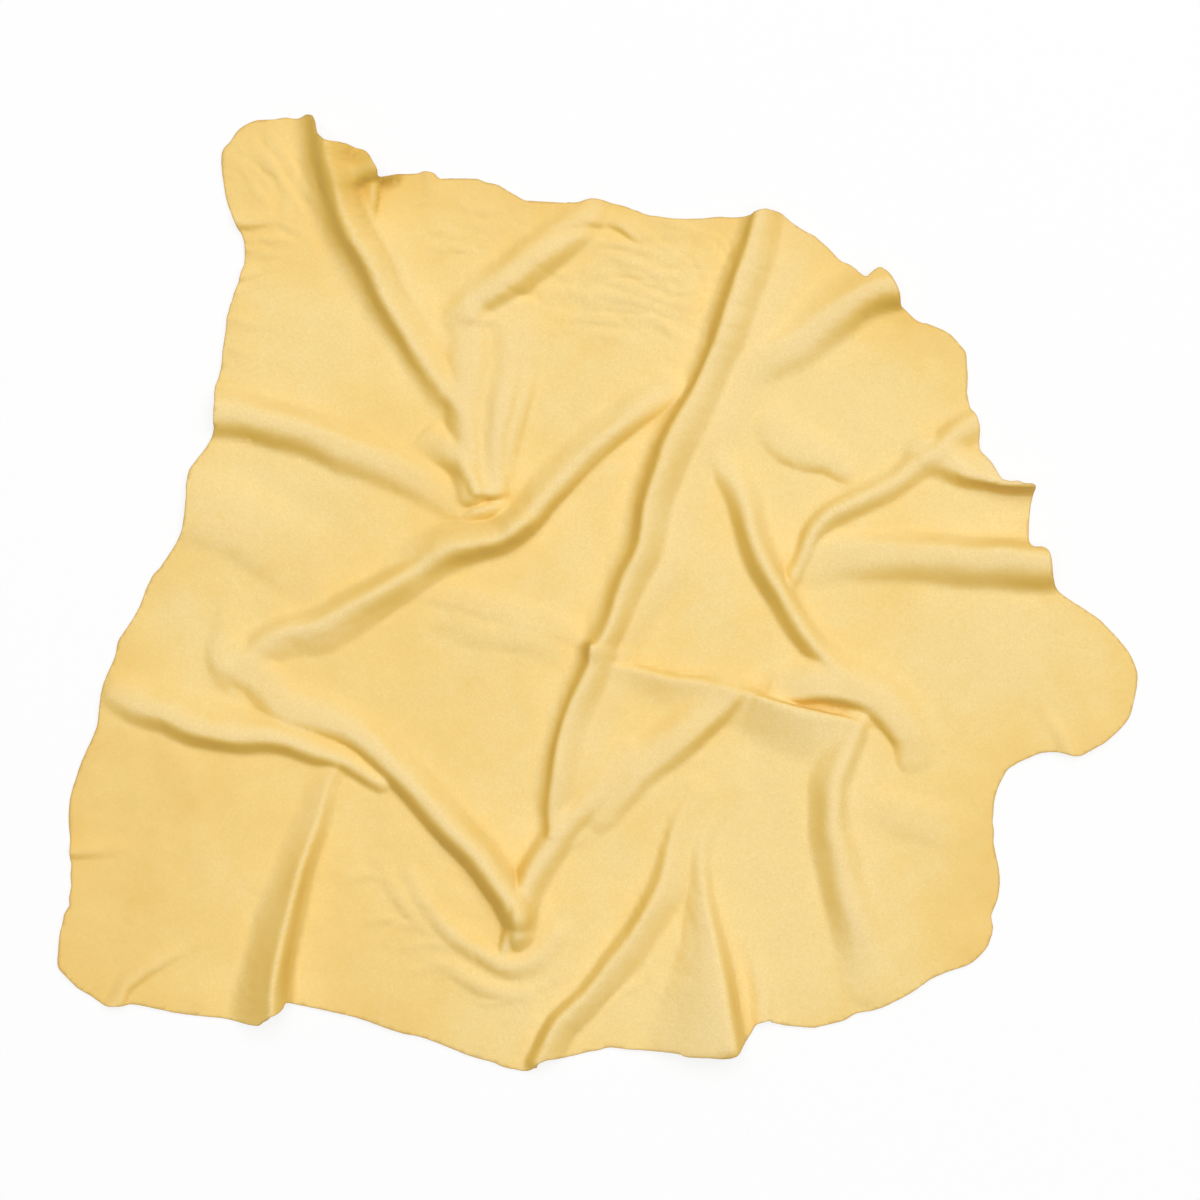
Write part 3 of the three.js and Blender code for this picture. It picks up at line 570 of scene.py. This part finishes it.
def inside(points):
    """Which points lie inside the cut edge."""
    odd = np.zeros(len(points), bool)
    for start, end in zip(edge, np.roll(edge, -1, axis=0)):
        rises = (start[1] > points[:, 1]) != (end[1] > points[:, 1])
        if rises.any():
            share = (points[:, 1] - start[1]) / (end[1] - start[1])
            odd ^= rises & (points[:, 0] < start[0] + share * (end[0] - start[0]))
    return odd


def shape(points):
    """Places of the underside over points in plan: the folds, low swells that are strongest where the
    leather lies flat, and the wrinkles."""
    broad, short, slight, risen, left_on_folds = 0.0010, 0.00034, 0.00007, 0.008, 0.35
    height, push, _ = folded(points)
    calm = 1 - np.clip(height / risen, 0, 1)
    low = broad * (1 + swell(points, wavelength=0.13, seed=3))
    low = low + short * (1 + swell(points, wavelength=0.034, seed=5))
    low = np.maximum(low, 0) * (left_on_folds + (1 - left_on_folds) * calm)
    fine = slight * (1 + swell(points, wavelength=0.011, seed=7, terms=30))
    height = height + low + fine + wrinkled(points)
    return np.column_stack([points + push, np.maximum(height, 0)])


# A net of even triangles over the hide, a little disturbed. Flat leather takes only every second
# point of every second row, and no point comes too close to the cut edge
row_share = 0.866
edge_gap, under_gap = 0.0013, 0.003
steep_enough, stiff_enough = 0.05, 0.6
disturbed = 0.12
rng = np.random.default_rng(11)

rows = int(hide_length / (fine_step * row_share)) + 2
columns = int(hide_width / fine_step) + 2
column, row = np.meshgrid(np.arange(columns), np.arange(rows))
column, row = column.ravel(), row.ravel()
net = np.column_stack([
    (column + 0.5 * (row % 2)) * fine_step - hide_width / 2,
    row * fine_step * row_share - hide_length / 2,
])
kept = inside(net)
net, column, row = net[kept], column[kept], row[kept]
kept = edge_distance(net) > edge_gap
net, column, row = net[kept], column[kept], row[kept]
second = (row % 2 == 0) & (column % 2 == 0)
fourth = (row % 4 == 0) & (column % 4 == 0)
stiff = patches(net, [(54, 83, 8.5, 6, 1), (19, 93, 5, 6, 1), (38, 13, 8, 6, 0.8)])
fine = (folded(net)[2] > steep_enough) | (stiff > stiff_enough)
jitter = rng.uniform(-disturbed, disturbed, net.shape) * fine_step
top_plan = (net + jitter)[fine | second]
under_plan = (net + jitter)[(fine & second) | fourth]
under_plan = under_plan[edge_distance(under_plan) > under_gap]


def triangles_over(inner):
    """Triangles over the cut edge's points followed by the inner ones."""
    keep_inside, merged_within = 1, 1e-7
    plan = [tuple(point) for point in np.vstack([edge, inner])]
    found = delaunay_2d_cdt(plan, [], [list(range(len(edge)))], keep_inside, merged_within)
    return np.array([list(face) for face in found[2]], int)


def normals_of(places, faces):
    """Upward normal at each point of a sheet."""
    first, second, third = (places[faces[:, corner]] for corner in range(3))
    across = np.cross(second - first, third - first)
    total = np.zeros_like(places)
    for corner in range(3):
        np.add.at(total, faces[:, corner], across)
    return total / np.linalg.norm(total, axis=1)[:, None]


# The two faces, and between them the cut, as two rings of points with a slightly frayed bulge
top_faces = triangles_over(top_plan)
under_faces = triangles_over(under_plan)
under = shape(np.vstack([edge, under_plan]))
middle = shape(np.vstack([edge, top_plan]))
up = normals_of(middle, top_faces)
top = middle + leather * up
rim = len(edge)
under[:rim] = middle[:rim]
outward = np.roll(edge, 1, axis=0) - np.roll(edge, -1, axis=0)
outward = np.column_stack([-outward[:, 1], outward[:, 0], np.zeros(rim)])
outward /= np.linalg.norm(outward, axis=1)[:, None]
frayed = rng.uniform(0.6, 1.4, rim)[:, None]
cut_top, cut_low = (
    middle[:rim] + share * leather * up[:rim] + bulge * frayed * outward
    for share, bulge in ((0.82, 0.00022), (0.15, 0.00018))
)
places = np.vstack([top, cut_top, cut_low, under])
cut_start = len(top)
low_start = cut_start + rim
under_start = low_start + rim
around = np.arange(rim)
ahead = (around + 1) % rim


def band(lower, upper):
    """Two triangles for each step of the cut edge, between two rings of points."""
    return np.vstack([
        np.column_stack([lower + around, lower + ahead, upper + ahead]),
        np.column_stack([lower + around, upper + ahead, upper + around]),
    ])


faces = np.vstack([
    top_faces,
    band(cut_start, 0),
    band(low_start, cut_start),
    band(under_start, low_start),
    under_faces[:, ::-1] + under_start,
])
skin = bpy.data.meshes.new("chamois_skin")
skin.from_pydata([tuple(place) for place in places], [], faces.tolist())
skin.polygons.foreach_set("use_smooth", np.ones(len(faces), bool))
skin.validate()
hide = bpy.data.objects.new("chamois_skin", skin)
bpy.context.scene.collection.objects.link(hide)

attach(hide, "root")
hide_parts("chamois_hide")

# The suede. Oil tanning leaves the skin pale yellow and split leather has a short nap on both sides,
# which lies paler or deeper where a hand has brushed it, and holds more oil towards the edge. Light
# and shade are painted into its colour too: a cream highlight on raised crests, deeper yellow shade on
# flanks turned from the lamp, ochre shade in creases, and a shade line along the cut edge.


class Tone:
    """A value in the nodes of a finish, which can be worked with like a number."""

    def __init__(self, finish, socket):
        self.finish = finish
        self.socket = socket

    def worked(self, operation, first, second):
        """Two values put together by one operation."""
        return self.finish.node("ShaderNodeMath", {"operation": operation}, {0: first, 1: second})

    def __add__(self, other):
        return self.worked("ADD", self, other)

    def __radd__(self, other):
        return self.worked("ADD", other, self)

    def __sub__(self, other):
        return self.worked("SUBTRACT", self, other)

    def __rsub__(self, other):
        return self.worked("SUBTRACT", other, self)

    def __mul__(self, other):
        return self.worked("MULTIPLY", self, other)

    def __rmul__(self, other):
        return self.worked("MULTIPLY", other, self)


class Finish:
    """The nodes of one surface, or of the room round it."""

    def __init__(self, owner):
        self.owner = owner
        owner.use_nodes = True
        self.tree = owner.node_tree
        self.tree.nodes.clear()

    def node(self, kind, settings=None, values=None, output=0):
        """A node with its settings, its inputs set or joined, and one of its outputs to go on with."""
        made = self.tree.nodes.new(kind)
        for setting, value in (settings or {}).items():
            setattr(made, setting, value)
        for name, value in (values or {}).items():
            if isinstance(value, Tone):
                self.tree.links.new(value.socket, made.inputs[name])
            else:
                made.inputs[name].default_value = value
        return Tone(self, made.outputs[output]) if made.outputs else None

    def noise(self, at, scale, detail, rough, distortion=0.0):
        """Clouds of random values: a larger scale makes them smaller, more detail adds finer ones."""
        return self.node(
            "ShaderNodeTexNoise", {},
            {"Vector": at, "Scale": scale, "Detail": detail, "Roughness": rough,
             "Distortion": distortion})

    def spread(self, value, low, high, start=0.0, end=1.0):
        """A value that goes softly from start to end while another goes from low to high."""
        return self.node(
            "ShaderNodeMapRange", {"interpolation_type": "SMOOTHSTEP"},
            {"Value": value, "From Min": low, "From Max": high, "To Min": start, "To Max": end})

    def mixed(self, share, first, second):
        """Two colours mixed. The node has its colours at inputs 6 and 7 and its result at output 2."""
        values = {0: share, 6: first, 7: second}
        return self.node("ShaderNodeMix", {"data_type": "RGBA"}, values, output=2)


# What the shader needs to know of each point of the leather: how near the cut edge it is and whether
# it is on the cut itself, and where light and shade are painted: how far it turns away from the light,
# how deep in a crease and how high on a crest it lies
plan_all = np.vstack([edge, top_plan, edge, edge, edge, under_plan])
edge_reach = 0.03
margin = np.exp(-edge_distance(plan_all) / edge_reach)
# The cut and the top's rim take a darker tan: the cut edge's own colour, strengthened as painted shade
# for the thin shadow line along the edge.
top_edge, low_edge = 0.75, 0.8
cut = np.zeros(len(plan_all))
cut[:rim] = top_edge
cut[cut_start:under_start] = 1
cut[under_start : under_start + rim] = low_edge
facing = np.vstack([up, up[:rim], up[:rim], normals_of(under, under_faces)])
eastward, northward, upward = facing.T
light_east, light_north, light_up = 0.14, 0.245, 0.96
lit = light_up * upward + light_north * northward + light_east * eastward
# Painted shade: the further a face turns away from the lamp, the deeper the yellow painted on it, and
# more so on the ear flap.
flank_light, flank_range, steep_light, steep_range = 0.86, 0.40, 0.62, 0.35
ear_flank_shade = (28.4, 94.6, 2.8, 3, 0.45)
painted_flank_shade = np.clip((flank_light - lit) / flank_range, 0, 1) + patches(plan_all, [ear_flank_shade])
steep_flank_shade = np.clip((steep_light - lit) / steep_range, 0, 1)


def crease_shade_share(points):
    """How deep each point lies below the leather close around it, as a share of the shade painted into
    narrow creases.
    """
    spacing, spare, near_by, window, shallow, deepening = 0.003, 4, 0.005, 5, 0.0009, 0.0032
    low = -np.array([hide_width, hide_length]) / 2 - spare * spacing
    counts = [int(size / spacing) + 2 * spare + 1 for size in (hide_width, hide_length)]
    lines = [low[axis] + spacing * np.arange(counts[axis]) for axis in (0, 1)]
    grid = np.stack(np.meshgrid(*lines, indexing="ij"), -1).reshape(-1, 2)
    heights = folded(grid)[0].reshape(counts)
    weights = np.exp(-0.5 * (spacing * np.arange(-window, window + 1) / near_by) ** 2)
    weights /= weights.sum()
    mean = heights
    for axis in (0, 1):
        mean = np.apply_along_axis(lambda line: np.convolve(line, weights, "same"), axis, mean)
    place = (points - low) / spacing
    cell = np.clip(place.astype(int), 0, np.array(counts) - 2)
    depth = read_off(mean - heights, cell, np.clip(place - cell, 0, 1))
    return np.clip((depth - shallow) / deepening, 0, 1)


# Painted shade: ochre in narrow creases, on the steepest flanks turned from the lamp, and in the ear's
# groove.
ear_groove_shade, shoulder_highlight = (28.6, 94.6, 2.6, 2.6, 0.35), (88.2, 63.5, 3.6, 1.7, 1.2)
painted_crease_shade = np.maximum(0.7 * crease_shade_share(plan_all), 0.3 * steep_flank_shade) + patches(plan_all, [ear_groove_shade])
# Painted highlight: crests that stand up and face the lamp, and the right shoulder, take a cream
# colour.
low_crest, crest_range, level_crest, level_range = 0.003, 0.008, 0.82, 0.16
on_crest = np.clip((places[:, 2] - low_crest) / crest_range, 0, 1)
on_crest = on_crest * np.clip((upward - level_crest) / level_range, 0, 1)
painted_crest_highlight = on_crest * (1 - painted_crease_shade) + patches(plan_all, [shoulder_highlight])

# Deeper and paler patches of the leather's own uneven tone. The strong deep patch on the ear flap is
# painted shade, and the strong pale patch at the right shoulder adds to the painted highlight there.
tone_and_shade_patches = patches(plan_all, [
    (28.5, 95, 4, 4, 1.5), (20, 92, 8, 8, 0.20), (45, 90, 22, 4, 0.30), (66, 88, 6, 5, 0.15),
    (77, 80, 5, 5, 0.45), (5, 22, 9, 16, 0.45), (18, 26, 12, 12, 0.35), (27, 40, 12, 9, 0.45),
    (37, 14, 13, 9, 0.30), (14, 30, 9, 7, 0.15), (26, 68, 7, 6, 0.15), (36, 62, 6, 8, 0.30),
    (85, 18, 4, 9, 0.35), (60, 45, 8, 8, 0.05), (22, 50, 6, 5, 0.20), (15, 72, 6, 9, -0.45),
    (21, 76, 6, 6, -0.20), (14, 58, 9, 6, -0.20), (12, 47, 7, 8, -0.35), (10, 38, 7, 3, -0.35),
    (61, 72, 9, 9, -0.20), (70, 66, 7, 8, -0.45), (71, 58, 4, 4, -0.25), (84, 62, 6, 6, -0.20),
    (86, 46, 12, 9, -0.40), (96, 43, 6, 8, -0.25), (65, 22, 5, 15, -0.45), (75, 26, 5, 14, -0.30),
    (57, 6, 12, 7, -0.75), (40, 3, 8, 4, -0.30), (76, 8, 7, 4, -0.35), (14, 8, 12, 4, -0.15),
    (53, 82, 5, 5, -0.15), (87, 58, 5, 3, -0.50), (49, 12, 5, 6, -0.15), (17, 62, 5, 5, -0.40),
    (24, 60, 5, 4, -0.30), (24, 69, 5, 4, -0.30), (14.5, 38, 5, 3, -0.25), (75, 66, 5, 4, -0.25),
    (51, 34, 4, 5, -0.20), (89.5, 63.6, 3.5, 1.6, -1.5),
])

suede = Finish(bpy.data.materials.new("chamois_suede"))


def tone_of(name, values):
    """A value of each point of the leather, kept on its mesh and read by the suede."""
    layer = skin.attributes.new(name, "FLOAT", "POINT")
    layer.data.foreach_set("value", values.astype(np.float32))
    return suede.node("ShaderNodeAttribute", {"attribute_name": name}, output="Fac")


margin_tone = tone_of("margin", margin)
cut_and_edge_shade_tone = tone_of("cut", cut)
flank_shade_tone = tone_of("flank", painted_flank_shade)
tone_and_shade_patch_tone = tone_of("tone_and_shade_patches", tone_and_shade_patches)
crease_shade_tone = tone_of("painted_crease_shade", painted_crease_shade)
crest_highlight_tone = tone_of("painted_crest_highlight", painted_crest_highlight)

crest_highlight_cream = (0.950, 0.780, 0.440, 1)
pale_nap = (0.935, 0.760, 0.367, 1)
suede_yellow = (0.915, 0.692, 0.277, 1)
deep_yellow = (0.830, 0.530, 0.140, 1)
flank_shade_yellow = (0.850, 0.555, 0.105, 1)
cut_tan_and_edge_shade = (0.560, 0.330, 0.085, 1)
crease_shade_ochre = (0.610, 0.385, 0.080, 1)
sheen_straw = (1.0, 0.93, 0.72, 1)

at = suede.node("ShaderNodeTexCoord", output="Object")
clouds = suede.noise(at, scale=7.5, detail=3, rough=0.55, distortion=0.5)
patchy = suede.noise(at, scale=26, detail=4, rough=0.6, distortion=0.3)
brush_turn, brush_width = 0.7, 0.45
brushed = suede.node(
    "ShaderNodeMapping", {"vector_type": "TEXTURE"},
    {"Vector": at, "Rotation": (0, 0, brush_turn), "Scale": (1, brush_width, 1)})
strokes = suede.noise(brushed, scale=60, detail=4, rough=0.6, distortion=0.2)
grain = suede.noise(at, scale=420, detail=3, rough=0.65)
nap = suede.noise(at, scale=1500, detail=2, rough=0.6)
depth = 0.5 * clouds + 0.35 * patchy + 0.15 * strokes + 0.33 * tone_and_shade_patch_tone + 0.18 * margin_tone
colour = suede.mixed(suede.spread(depth, 0.37, 0.63), pale_nap, suede_yellow)
colour = suede.mixed(suede.spread(depth, 0.54, 1.00, end=0.85), colour, deep_yellow)
# Painted highlight: cream on raised crests
colour = suede.mixed(crest_highlight_tone * (1.1 - 0.8 * clouds), colour, crest_highlight_cream)
colour = suede.mixed(suede.spread(grain, 0.25, 0.75, start=0.28, end=0.0), colour, deep_yellow)
colour = suede.mixed(suede.spread(nap, 0.25, 0.75, start=0.50, end=0.0), colour, deep_yellow)
# Painted shade: deeper yellow on the flanks turned away from the lamp
colour = suede.mixed(flank_shade_tone * 0.9, colour, flank_shade_yellow)
# Painted shade: ochre in creases and on the steepest flanks
colour = suede.mixed(crease_shade_tone * 0.8, colour, crease_shade_ochre)
# The cut edge's own darker tan, with painted shade along the edge
colour = suede.mixed(suede.spread(cut_and_edge_shade_tone, 0.3, 1.0, end=0.85), colour, cut_tan_and_edge_shade)

pile_depth, patch_depth = 0.0006, 0.0010
relief = 0.5 * grain + 0.5 * nap
bump = suede.node("ShaderNodeBump", {}, {"Strength": 0.3, "Distance": pile_depth, "Height": relief})
bump = suede.node(
    "ShaderNodeBump", {}, {"Strength": 1.0, "Distance": patch_depth, "Height": patchy, "Normal": bump})
surface = suede.node(
    "ShaderNodeBsdfPrincipled", {},
    {"Base Color": colour, "Roughness": 0.92, "Specular IOR Level": 0.15, "Normal": bump,
     "Sheen Weight": 0.12, "Sheen Roughness": 0.5, "Sheen Tint": sheen_straw})
suede.node("ShaderNodeOutputMaterial", {}, {"Surface": surface})
skin.materials.append(suede.owner)

# The table top that the hide lies on, just under the leather. It is matt white, and the camera sees
# it mostly as a white glow, so that the skin's soft shadow shows on it only faintly.

table_reach, table_level = 4.0, -0.0004
corners = [(east * table_reach, north * table_reach, table_level)
           for east, north in ((-1, -1), (1, -1), (1, 1), (-1, 1))]
table_mesh = bpy.data.meshes.new("table_top")
table_mesh.from_pydata(corners, [], [(0, 1, 2, 3)])
table = bpy.data.objects.new("table_top", table_mesh)
bpy.context.scene.collection.objects.link(table)

pure_white, paper = (1, 1, 1, 1), (0.93, 0.93, 0.93, 1)
glow_share = 0.8
white = Finish(bpy.data.materials.new("white_table"))
seen = white.node("ShaderNodeLightPath", output="Is Camera Ray")
matt = white.node("ShaderNodeBsdfDiffuse", {}, {"Color": paper})
glow = white.node("ShaderNodeEmission", {}, {"Color": pure_white, "Strength": 1.0})
both = white.node("ShaderNodeMixShader", {}, {0: seen * glow_share, 1: matt, 2: glow})
white.node("ShaderNodeOutputMaterial", {}, {"Surface": both})
table_mesh.materials.append(white.owner)

# The light and the room. One broad soft lamp hangs high above, a little to the north and east, and
# aims at the hide. The room is dim for the leather and white for the camera.

lamp_east, lamp_north, lamp_height, lamp_distance = 0.95, 1.7, 6.7, 6.9
lamp_data = bpy.data.lights.new("overhead", "AREA")
lamp_data.shape = "DISK"
lamp_data.size = 11
lamp_data.energy = 690
lamp = bpy.data.objects.new("overhead", lamp_data)
lamp.location = (lamp_east, lamp_north, lamp_height)
tilt, roll = math.atan2(-lamp_north, lamp_height), math.atan2(lamp_east, lamp_distance)
lamp.rotation_euler = (tilt, roll, 0)
bpy.context.scene.collection.objects.link(lamp)

dim_light = 0.17
room = Finish(bpy.data.worlds.new("studio"))
seen = room.node("ShaderNodeLightPath", output="Is Camera Ray")
dim = room.node("ShaderNodeBackground", {}, {"Color": pure_white, "Strength": dim_light})
backdrop = room.node("ShaderNodeBackground", {}, {"Color": pure_white, "Strength": 1.0})
both = room.node("ShaderNodeMixShader", {}, {0: seen, 1: dim, 2: backdrop})
room.node("ShaderNodeOutputWorld", {}, {"Surface": both})
bpy.context.scene.world = room.owner

# The camera looks straight down. Its picture width is measured at the leather's mean height.

picture_width = 0.8659
mean_height = 0.006
camera_east, camera_north, camera_height = 0.0018, -0.0047, 2.6
camera_data = bpy.data.cameras.new("from_above")
camera_data.sensor_width = 36
camera_data.lens = camera_data.sensor_width * (camera_height - mean_height) / picture_width
camera = bpy.data.objects.new("from_above", camera_data)
camera.location = (camera_east, camera_north, camera_height)
bpy.context.scene.collection.objects.link(camera)
bpy.context.scene.camera = camera
bpy.context.scene.view_settings.view_transform = "Standard"
